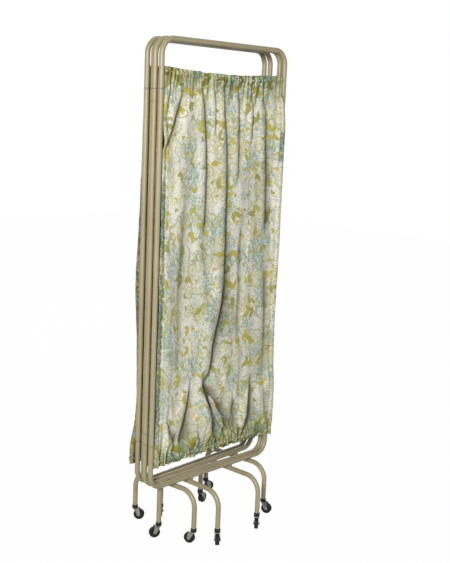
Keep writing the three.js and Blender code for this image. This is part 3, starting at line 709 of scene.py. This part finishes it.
def wire(panel, name, height, sag):
    body = Body(panel_place(panel))
    span, out = PANEL_WIDTH - 2 * WIRE_START, WIRE_RADIUS - WIRE_GAUGE
    shares = [k / WIRE_STEPS for k in range(WIRE_STEPS + 1)]
    path = [Vector((WIRE_START + span * t, 0, height - 4 * sag * t * (1 - t))) for t in shares]
    body.swept(path, out, 12, 0.0003)
    turns = int(COIL_LENGTH / (2 * WIRE_GAUGE))
    for start, inward in ((WIRE_START, 1), (PANEL_WIDTH - WIRE_START, -1)):
        coil = []
        for k in range(turns * COIL_STEPS + 1):
            angle = tau * k / COIL_STEPS
            along = k / COIL_STEPS * 2 * WIRE_GAUGE + 0.0006
            up = height + out * sin(angle) - 4 * sag * along / span
            coil.append(Vector((start + inward * along, out * cos(angle), up)))
        body.swept(coil, WIRE_GAUGE * 0.96, 6, 0.0001)
    name = f"panel_{panel}_{name}"
    body.piece(name + "_spring", spring, "curtain_wire", name)


for panel in PANELS:
    wire(panel, "top_wire", TOP_WIRE, TOP_WIRE_SAG)
    wire(panel, "bottom_wire", BOTTOM_WIRE, 0)

# Curtains
# Light printed cotton, a third wider than the panel and gathered on a wire through a sewn casing
# at the top and one at the bottom. Above the top casing and under the lower one the cloth stands
# as a frill, folded over and stitched down behind. Between them it hangs in a few long folds.
CLOTH_WIDTH, CLOTH_THICKNESS = 0.80, 0.0005
HEADING, HEM, CASING, SIDE_HEM = 0.016, 0.021, 0.008, 0.012
PLEAT = 0.0165
TOP_EDGE = HEADING + CASING
FALL = TOP_WIRE - BOTTOM_WIRE
FOOT_EDGE = 2 * TOP_EDGE + FALL + HEM - CASING
WHOLE = FOOT_EDGE + HEM + CASING
STITCH_PITCH, STITCH_WIDTH, STITCH_LENGTH, STITCH_INSET = 0.0038, 0.0006, 0.0027, 0.001
CASING_ROWS = 26
CLEAR_OF_POST = TUBE_RADIUS + 0.0025
FINE_DEPTH, MEDIUM_DEPTH, BROAD_DEPTH = 0.0052, 0.0058, 0.0016
CRUMPLES = ((0.0034, 0.13, 0.42), (0.0014, 0.04, 0.11), (0.0008, 0.016, 0.03))
POUCH_DEPTH, SELVEDGE_DEPTH, FRILL_DEPTH = 0.011, 0.004, 0.0034
FRESH_HEIGHTS = (1.345, 0.45)
GROUND, FADED = ((0.64, 0.625, 0.535), (0.8, 0.79, 0.7)), (0.76, 0.745, 0.68)
# The colour of the painted shade in the creases, then the thread's two colours
CREASE_SHADE_COLOUR, THREAD = (0.17, 0.145, 0.065), ((0.26, 0.25, 0.13), (0.36, 0.35, 0.2))


def share(x):
    return np.clip(x, 0, 1)


def rise(x, low, high):
    """0 up to low, 1 from high on and a smooth rise between."""
    t = share((x - low) / (high - low))
    return t * t * (3 - 2 * t)


def hump(x, middle, half):
    return np.exp(-((x - middle) / half) ** 2)


def drift(x, z, width, height, seed):
    """Smooth random unevenness from -1 to 1, in patches of that width and height."""
    table = np.random.default_rng(seed).uniform(-1, 1, (64, 64))
    i, j = np.floor(x / width).astype(int), np.floor(z / height).astype(int)
    s, t = rise(x / width - i, 0, 1), rise(z / height - j, 0, 1)
    i, j, i1, j1 = i % 64, j % 64, (i + 1) % 64, (j + 1) % 64
    return (table[j, i] * (1 - s) * (1 - t) + table[j, i1] * s * (1 - t)
            + table[j1, i] * (1 - s) * t + table[j1, i1] * s * t)


def pleats(across, z, pitch, seed, wander):
    """Gathers of about that pitch, which wander sideways as they go down."""
    phase = across / pitch + 0.55 * drift(across, z, 3.1 * pitch, wander, seed)
    phase = phase + 0.35 * drift(across, z, 1.3 * pitch, wander * 0.7, seed + 1)
    wave = np.sin(2 * np.pi * phase)
    return np.sign(wave) * np.abs(wave) ** 0.8


def long_folds(x, z, folds):
    """How far the folds push the cloth back and aside, and how much painted shade darkens it in them.
    It stands proud on both sides of a valley, and its left side leans over."""
    back, aside, crease_shade = np.zeros_like(x), np.zeros_like(x), np.zeros_like(x)
    for path, depth, lean in folds:
        places, heights, halves = np.array(path[::-1]).T / 1000
        middle, half = np.interp(z, heights, places), np.interp(z, heights, halves)
        reach = 0.24 * (heights[-1] - heights[0]) + 0.012
        strength = rise(z, heights[0] - 0.1 * reach, heights[0] + 0.5 * reach)
        strength = strength * (1 - rise(z, heights[-1] - reach, heights[-1] + 0.4 * reach))
        off = (x - middle) / half
        valley = np.where(off < 0, hump(off, 0, 0.9), np.exp(-np.abs(off / 2.1) ** 1.7))
        back = back + depth / 1000 * strength * (valley - 0.3 * hump(off, -2.0, 1.0))
        drawn_in = 0.35 * (middle - x) * hump(off, 0, 1.7)
        aside = aside + strength * (drawn_in + lean / 1000 * hump(off, -1.0, 0.8))
        # Painted shade: darkest in the fold's valley, fading out to its right
        shaded = np.where(off < 0, hump(off, 0, 0.9), np.exp(-np.abs(off / 1.8) ** 1.6))
        crease_shade = np.maximum(crease_shade, np.minimum(depth / 20, 1) * strength * shaded)
    return back, aside, crease_shade


def hung(columns, rows, seed, folds, bulge, reaches, fullness):
    """One curtain in its panel's own plane: places across, out of the plane (negative is the
    cloth's own front) and up, the place on the flat cloth, and the painted shade in its creases."""
    below, above = 2 * TOP_EDGE, FOOT_EDGE - HEM - CASING
    down = np.concatenate([np.linspace(0, below, CASING_ROWS, endpoint=False),
                           np.linspace(below, above, rows),
                           np.linspace(above, WHOLE, CASING_ROWS)[1:]])
    q, s = np.meshgrid(np.linspace(0, 1, columns), down)
    behind = (s < TOP_EDGE) | (s > FOOT_EDGE)
    z = np.where(s < WHOLE / 2, TOP_WIRE + HEADING - np.abs(s - TOP_EDGE),
                 BOTTOM_WIRE - HEM + np.abs(FOOT_EDGE - s))
    x = CLEAR_OF_POST + (PANEL_WIDTH - 2 * CLEAR_OF_POST) * q
    from_top, from_foot = TOP_WIRE - z, z - BOTTOM_WIRE
    in_heading, in_hem = share(-from_top / HEADING), share(-from_foot / HEM)
    body = rise(from_top, 0, 0.07) * rise(from_foot, 0, 0.06)

    bunched = 0.35 + 0.65 * rise(drift(x, 0 * z, 0.055, 1, seed + 9), -0.6, 0.5)
    fine = pleats(x, np.where(z > 1, 1.7, 0.3), PLEAT, seed, 0.4) * bunched
    medium = pleats(x, z, 2.2 * PLEAT, seed + 3, 0.3)
    broad = pleats(x, z, 4.6 * PLEAT, seed + 5, 0.6)
    near = share(np.exp(-np.abs(from_top) / 0.04) + np.exp(-np.abs(from_foot) / 0.045))
    mid_way = share(np.exp(-from_top / 0.11) + np.exp(-from_foot / 0.1))
    y = FINE_DEPTH * fine * near * (1 - 0.6 * in_hem)
    y = y + MEDIUM_DEPTH * medium * bunched * mid_way * (1 - 0.5 * np.exp(-np.abs(from_top) / 0.04))
    y = y + BROAD_DEPTH * broad * body
    y = y + body * sum(depth * drift(x, z, width, height, seed + 11 + k)
                       for k, (depth, width, height) in enumerate(CRUMPLES))
    pouch = rise(from_foot, 0.0, 0.05) * (1 - rise(from_foot, 0.07, 0.24))
    y = y - POUCH_DEPTH * pouch * (0.75 + 0.5 * drift(x, z, 0.07, 0.2, seed + 15))
    y = y - bulge * np.sin(np.pi * share(from_foot / FALL)) ** 0.6
    back, aside, crease_shade = long_folds(x, z, folds)
    y, x = (y + back * body) * fullness, x + aside * body * fullness
    selvedge = hump(q, 0.03, 0.008) + hump(q, 0.972, 0.008)
    y = y + SELVEDGE_DEPTH * selvedge * body * fullness

    hug = share(hump(from_top, 0, 0.006) + hump(from_foot, 0, 0.006))
    puffed = hug * (0.003 + 0.0028 * (1 - fine))
    flared = (in_hem + in_heading) * FRILL_DEPTH * pleats(x, 0 * z, 1.7 * PLEAT, seed + 31, 1.0)
    y = y * (1 - hug)
    y = np.where(behind, y + puffed + 0.0012, y - puffed - 0.0007) + flared
    # Painted shade in the gaps between the gathers and along the pleats
    gaps = 0.8 * near * rise(fine, 0.1, 0.9) * (1 - 0.6 * hug)
    runs = 0.95 * mid_way * rise(medium, 0.66, 1.0) * bunched * (1 - 0.6 * hug)
    crease_shade = np.maximum(crease_shade * body, np.maximum(gaps, runs))

    out = rise(from_top, 0.03, 0.2)
    spread = 0.3 + 0.36 * hump(z, 1.0, 0.16) + 0.75 * rise(-z, -0.46, -0.3)
    left = reaches[0] * out * spread * rise(-q, -0.22, 0.0)
    right = reaches[1] * out * (0.45 + 0.55 * rise(-z, -1.2, -0.3)) * rise(q, 0.78, 1.0)
    x = x + right - left
    for edge, reach in ((0.0, reaches[0]), (PANEL_WIDTH, reaches[1])):
        if reach:
            beside = 1 - rise(np.abs(x - edge), CLEAR_OF_POST, CLEAR_OF_POST + 0.03)
            past = rise(x * (1 if edge else -1), edge, edge + 0.02)
            y = y - (CLEAR_OF_POST + 0.002) * np.maximum(beside, past) * rise(out, 0, 0.25)
    z = z - 4 * TOP_WIRE_SAG * q * (1 - q) * share(from_foot / FALL)
    z = z + (0.004 * in_hem + 0.0022 * in_heading) * drift(x, 0 * z, 0.03, 1, seed + 21)
    return x, y, z, q * CLOTH_WIDTH, s, crease_shade


def sheet_mesh(name, points, u, v, crease_shade, finish):
    rows, columns = u.shape
    first = np.arange((rows - 1) * columns).reshape(rows - 1, columns)[:, :-1].ravel()
    faces = np.stack([first, first + columns, first + columns + 1, first + 1], 1)
    mesh = mesh_of(name, points.reshape(-1, 3).tolist(), [], faces.tolist(), finish)
    corner = np.zeros(len(mesh.loops), np.int32)
    mesh.loops.foreach_get("vertex_index", corner)
    flat = np.stack([u.ravel()[corner], v.ravel()[corner]], -1).astype(np.float32)
    mesh.uv_layers.new(name="cloth").data.foreach_set("uv", flat.ravel())
    # The painted shade of the creases, kept on the points for the cloth's material
    kept = mesh.attributes.new("crease_shade", "FLOAT", "POINT")
    kept.data.foreach_set("value", crease_shade.ravel().astype(np.float32))
    mesh.shade_smooth()
    return added(name, mesh)


def strewn(place, pitch, loose, shift=0.0):
    """Motifs scattered over the cloth, one a cell: a place in the motif's own turned axes, and
    two random shares of the motif."""
    moved = place.plus((shift, shift * 0.7, 0.0))
    given = {"Vector": moved, "Scale": 1 / pitch, "Randomness": loose}
    cell = place.node("ShaderNodeTexVoronoi", given, voronoi_dimensions="2D").socket.node
    chance = Shade(place.tree, cell.outputs["Color"]).split()
    from_middle = moved.minus(Shade(place.tree, cell.outputs["Position"]))
    given = {"Vector": from_middle, "Angle": chance[0] * tau}
    x, y, _ = place.node("ShaderNodeVectorRotate", given, rotation_type="Z_AXIS").split()
    return x, y, chance[1], chance[2]


def ink(distance, edge=0.0006):
    """1 inside a motif, where the distance is below nothing, with a soft printed edge."""
    return distance.step(edge, -edge)


def far_from_middle(x, y):
    return x.maths("SQRT", x * x + y * y)


def leaf(x, y, length, width):
    """A pointed leaf along X from nothing to its length, widest a third of the way."""
    along = x / length
    half = along * (1 - along) * (1.2 - along).larger(0.0) * 5.6 * width
    return abs(y) - half


def bloom(x, y, radius, petals, dent):
    """The distance from the rim of a flower of round petals, from its middle, and the angle."""
    far, angle = far_from_middle(x, y), x.maths("ARCTAN2", y, x)
    rim = abs(x.maths("COSINE", angle * (petals / 2))) ** 0.6
    return far - (rim * dent + (1 - dent)) * radius, far, angle


def scribbles(tone, place):
    """Fine wandering lines in yellow, straw and blue grey."""
    for scale, shift, wide, colour in ((21.0, 0.0, 0.02, (0.36, 0.33, 0.05)),
                                       (30.0, 4.0, 0.026, (0.46, 0.43, 0.1)),
                                       (24.0, 9.0, 0.024, (0.3, 0.38, 0.42))):
        moved = place.plus((shift, shift, 0.0))
        line = ink(abs(moved.noise(scale, 2.0) - 0.5) - wide * 0.5, wide * 0.5)
        tone = tone.blend(colour, line * moved.noise(9.0, 1.0).step(0.42, 0.55) * 0.75)
    return tone


def specks_and_stems(tone, place, drawn):
    """Small round dots in drifts, and long stems."""
    x, y, chance, _ = strewn(drawn, 0.0068, 0.95)
    dot = ink(far_from_middle(x, y) - 0.0019)
    colour = chance.ramp((0.15, (0.24, 0.42, 0.44)), (0.45, (0.38, 0.43, 0.6)),
                         (0.8, (0.44, 0.42, 0.13)))
    tone = tone.blend(colour, dot * place.noise(7.5, 2.0).step(0.4, 0.52) * 0.85)
    stem = ink(abs(drawn.noise(11.0, 1.0) - 0.5) - 0.011, 0.004)
    return tone.blend((0.34, 0.31, 0.05), stem * place.noise(5.0, 1.0).step(0.43, 0.5) * 0.85)


def open_flowers(tone, drawn):
    """Large flowers in outline, with a line down each petal and a ring in the middle."""
    for pitch, shift, size in ((0.122, 0.0, 0.043), (0.084, 3.1, 0.026)):
        x, y, chance, _ = strewn(drawn, pitch, 0.6, shift)
        rim, far, angle = bloom(x, y * 1.25, size, 9, 0.34)
        petal_line = ink(abs(angle.maths("SINE", angle * 4.5)) * far - 0.0024, 0.0009)
        petal_line = petal_line * rim.step(0.0, -0.001) * far.step(size * 0.22, size * 0.3)
        line = ink(abs(rim) - 0.0019).larger(petal_line).larger(ink(abs(far - size * 0.24) - 0.0013))
        there = chance.step(0.24, 0.25)
        tone = tone.blend((0.7, 0.67, 0.5), ink(rim) * there * 0.3)
        tone = tone.blend((0.38, 0.34, 0.03), line * there * 0.9)
    return tone


def clusters(tone, drawn, crowded):
    """Small five-petalled flowers in heaps, blue green for the most part."""
    for pitch, shift, size, least in ((0.0195, 1.7, 0.0082, 0.55), (0.0135, 5.3, 0.0054, 0.5)):
        x, y, chance, other = strewn(drawn, pitch, 0.7, shift)
        rim, far, _ = bloom(x, y, size, 5, 0.42)
        colour = chance.ramp((0.2, (0.08, 0.31, 0.33)), (0.42, (0.22, 0.43, 0.44)),
                             (0.6, (0.38, 0.46, 0.58)), (0.88, (0.28, 0.35, 0.12)))
        flower = ink(rim) * crowded.step(least, least + 0.05) * other.step(0.1, 0.11)
        tone = tone.blend(colour, flower * 0.92)
        tone = tone.blend((0.68, 0.58, 0.14), ink(far - size * 0.26) * flower)
    return tone


def leaves(tone, place, drawn, strips):
    """Olive leaves, single or in pairs from one root, and a few rust buds. The strips have no
    leaves."""
    spots = place.noise(420.0, 1.0).step(0.56, 0.62) * 0.35
    for pitch, shift, length, width in ((0.118, 0.6, 0.06, 0.0098), (0.088, 2.2, 0.044, 0.0078),
                                        (0.052, 4.4, 0.022, 0.0042)):
        x, y, chance, other = strewn(drawn, pitch, 0.45, shift)
        bow = x * x * 6.0 * (other - 0.5)
        root = x + length * 0.5
        blade = leaf(root, y + bow, length, width)
        second = leaf(root * 0.42 + y * 0.91, y * 0.42 - root * 0.91, length * 0.72, width * 0.8)
        shape = blade.maths("MINIMUM", blade, second + other.step(0.55, 0.54) * 0.05)
        colour = chance.ramp((0.25, (0.25, 0.24, 0.012)), (0.6, (0.4, 0.36, 0.016)),
                             (0.9, (0.44, 0.35, 0.018)))
        shown = ink(shape) * other.step(0.4, 0.41) * (1 - strips)
        vein = ink(abs(y + bow) - 0.0005, 0.0004) * ink(blade)
        tone = tone.blend(colour, shown)
        tone = tone.blend((0.62, 0.58, 0.22), vein.larger(spots) * shown * 0.6)
    x, y, chance, _ = strewn(drawn, 0.041, 0.8, 7.7)
    bud = ink(far_from_middle(x, y) - 0.0024) * chance.step(0.5, 0.51)
    return tone.blend((0.6, 0.27, 0.16), bud * 0.7)


def kept_fresh(u, v):
    """Print kept strong: two side strips, and the gathered edges, which carry painted shade too."""
    edge = u.maths("MINIMUM", u, CLOTH_WIDTH - u)
    start, end = (TOP_EDGE + TOP_WIRE + HEADING - height for height in FRESH_HEIGHTS)
    left = v.step(start - 0.01, start + 0.02) * v.step(end + 0.1, end - 0.05) * u.step(0.4, 0.3)
    right = v.step(0.22, 0.24) * v.step(0.36, 0.33) * u.step(0.4, 0.5)
    strips = left.larger(right) * edge.step(0.031, 0.027)
    gathered = (v.step(FOOT_EDGE - 0.1, FOOT_EDGE - 0.03) * 0.85).larger(v.step(0.13, 0.045) * 0.62)
    return edge, strips, gathered


def cotton(shade, surface, fade, shade_and_dust):
    """The printed cloth. Fade is how far sun and washing have taken the print. The last choice is
    how far painted shade, with some dust, darkens the ground."""
    place = shade.node("ShaderNodeUVMap", uv_map="cloth")
    u, v, _ = place.split()
    edge, strips, gathered = kept_fresh(u, v)
    wavy = place.noise(34.0, 2.0, output=1).minus((0.5, 0.5, 0.5))
    drawn = place.plus(wavy.times((0.006, 0.006, 0.0)))
    washed = place.noise(6.0, 4.0)
    tone = scribbles(washed.fade(0.34, 0.66, GROUND), place)
    tone = specks_and_stems(tone, place, drawn)
    tone = open_flowers(tone, drawn)
    crowded = place.noise(8.0, 2.0) + gathered * 0.07 + strips * 0.16
    tone = clusters(tone, drawn, crowded)
    tone = leaves(tone, place, drawn, strips)

    strong = strips.larger(gathered)
    tone = tone.blend(FADED, (1 - strong) * fade * (0.75 + washed * 0.5))
    tone = tone.blend(tone, strong * 0.8, "MULTIPLY")
    # Partly painted shade: the gathered bands at the top and the foot are darkened and greened
    tone = tone.blend((0.62, 0.68, 0.36), gathered * 0.7, "MULTIPLY")
    # Painted shade, with some dust: the ground is darkened by that choice
    tone = tone.blend((0.3, 0.34, 0.25), shade_and_dust, "MULTIPLY")

    warp, weft = place.times((2100.0, 190.0, 1.0)), place.times((190.0, 2100.0, 1.0))
    weave = warp.noise(1.0, 1.0) + weft.noise(1.0, 1.0)
    stained = place.noise(3.0, 5.0).step(0.6, 0.8) * 0.2
    tone = tone.blend((0.42, 0.38, 0.29), weave.step(1.02, 1.4) * 0.12 + stained)
    # Painted shade in the creases and gathers, where the cloth is tucked deep
    crease_shade = shade.node("ShaderNodeAttribute", output="Fac", attribute_name="crease_shade")
    tone = tone.blend(CREASE_SHADE_COLOUR, crease_shade.step(0.1, 0.85) * 0.93, "MULTIPLY")
    turned_in = edge.step(SIDE_HEM + 0.0004, SIDE_HEM - 0.0004)
    relief = weave * 0.06 + turned_in * 0.5 + place.noise(85.0, 4.0) * 0.8
    join(surface, Base_Color=tone, Roughness=weave * 0.06 + 0.82, Normal=relief.bumps(0.35, 0.0012))


def thread(shade, surface):
    twist = on_piece(shade).noise(1500.0, 2.0)
    join(surface, Base_Color=twist.fade(0.35, 0.65, THREAD), Roughness=twist * 0.1 + 0.75)


faded_cotton = finish_of("printed_cotton_faded", cotton, 0.1, 0.0)
# The rear curtains' unfaded cloth, darkened with painted shade
fresh_shaded_cotton = finish_of("printed_cotton", cotton, 0.0, 0.4)
cotton_thread = finish_of("sewing_thread", thread)

# Each fold: its path down the panel as (place across, height, half width), in millimetres, then its
# depth and how far its left side leans over it
FRONT_FOLDS = [
    ([(298, 1728, 7), (307, 1694, 9), (321, 1554, 13), (332, 1375, 16), (340, 1154, 18), (347, 961, 22),
      (328, 815, 30), (302, 722, 27), (284, 626, 18), (262, 530, 10)], 27, 12),
    ([(190, 1726, 7), (195, 1705, 8), (207, 1620, 11), (217, 1517, 13), (228, 1376, 14),
      (232, 1150, 16)], 17, 7),
    ([(108, 1655, 9), (90, 1600, 13), (64, 1530, 15), (36, 1450, 16)], 16, 5),
    ([(188, 596, 6), (174, 510, 15), (156, 420, 28), (146, 352, 32)], 26, 8),
    ([(246, 616, 8), (268, 566, 22), (304, 511, 36), (350, 448, 38), (386, 392, 28),
      (403, 340, 14)], 30, -8),
    ([(262, 560, 6), (280, 484, 15), (310, 404, 20), (330, 338, 12)], 22, 6),
    ([(312, 545, 7), (325, 499, 11), (371, 389, 14), (386, 330, 9)], 15, 6),
    ([(378, 1722, 7), (393, 1592, 10), (400, 1484, 12), (404, 1330, 14)], 14, 5),
    ([(508, 1724, 7), (532, 1596, 11), (540, 1485, 13), (555, 1372, 15), (566, 1120, 18)], 16, 6),
    ([(526, 560, 8), (521, 399, 15), (496, 341, 14), (474, 320, 9)], 19, -6),
    ([(455, 1718, 6), (462, 1620, 9), (470, 1480, 11)], 11, 4),
    ([(255, 1716, 6), (262, 1640, 8), (270, 1520, 10)], 11, 4),
    ([(62, 1712, 6), (50, 1660, 8), (34, 1580, 9)], 9, 3),
    ([(420, 1200, 22), (432, 900, 28), (425, 700, 24)], 9, 3),
    ([(130, 1260, 22), (120, 960, 30), (132, 640, 24)], 9, -3),
    ([(560, 1050, 18), (578, 800, 22), (584, 540, 18)], 10, 3),
    ([(70, 480, 9), (92, 400, 13), (104, 328, 9)], 15, 4),
    ([(432, 500, 9), (444, 400, 13), (436, 328, 9)], 15, 4),
    ([(584, 520, 8), (590, 400, 11), (596, 328, 8)], 12, 4),
    ([(226, 420, 7), (236, 370, 9), (240, 325, 7)], 9, 3),
]
PLAIN_FOLDS = [
    ([(190, 1700, 22), (200, 1200, 26), (215, 400, 24)], 7, 3),
    ([(430, 1700, 24), (420, 1000, 28), (440, 400, 24)], 7, 3),
]
REAR_FOLDS = [
    ([(250, 1720, 9), (262, 1300, 22), (280, 900, 24), (255, 520, 14)], 20, 8),
    ([(440, 1720, 9), (430, 1300, 20), (445, 700, 20)], 16, 8),
    ([(120, 1716, 8), (128, 1400, 16), (110, 1000, 16)], 14, 6),
    ([(350, 560, 9), (360, 440, 14), (380, 330, 9)], 16, 6),
    ([(200, 560, 9), (190, 440, 14), (180, 330, 9)], 16, -6),
    ([(540, 560, 9), (530, 440, 12), (520, 330, 9)], 14, 6),
    ([(90, 500, 9), (84, 420, 12), (76, 330, 9)], 12, 4),
]


def curtain(panel, facing, finish, columns, rows, seed, folds, bulge=0.0, reaches=(0, 0), fullness=1.0):
    """Facing is 1 where the cloth's own front looks to the front of the screen, else -1. Reaches
    are how far its left and right edges spread over the posts."""
    name, body, place = f"panel_{panel}_curtain", f"panel_{panel}", panel_place(panel)
    x, y, z, u, v, crease_shade = hung(columns, rows, seed, folds, bulge, reaches, fullness)
    flat = np.stack([x, y * facing, z, np.ones_like(x)], -1)
    points = (flat @ np.array(place).T)[..., :3]
    made = sheet_mesh(name + "_cloth", points, u, v, crease_shade, finish)
    wall = made.modifiers.new("wall", "SOLIDIFY")
    wall.thickness, wall.offset = CLOTH_THICKNESS, 0
    settle(made, body, "curtain_cloth", name)

    seams = []
    outward = np.array(place)[:3, 1] * -facing * CLOTH_THICKNESS
    for middle in (TOP_EDGE + HEADING + CASING, FOOT_EDGE - HEM):
        for down in (middle - CASING - STITCH_INSET, middle + CASING + STITCH_INSET):
            row = int(np.argmin(np.abs(v[:, 0] - down)))
            seams.append([tuple(p) for p in points[row, 2:-2] + outward])
    sewn = beads(name + "_stitches", seams, cotton_thread,
                 STITCH_PITCH, STITCH_WIDTH, STITCH_LENGTH, seed)
    settle(sewn, body, "curtain_cloth")


curtain(1, 1, faded_cotton, 290, 110, 3, FRONT_FOLDS, bulge=0.006, reaches=(0, 0.026))
curtain(2, 1, faded_cotton, 110, 60, 17, PLAIN_FOLDS, fullness=0.45)
curtain(3, -1, fresh_shaded_cotton, 110, 60, 29, PLAIN_FOLDS, fullness=0.45)
curtain(4, -1, fresh_shaded_cotton, 200, 110, 43, REAR_FOLDS, bulge=0.006, reaches=(0.034, 0))
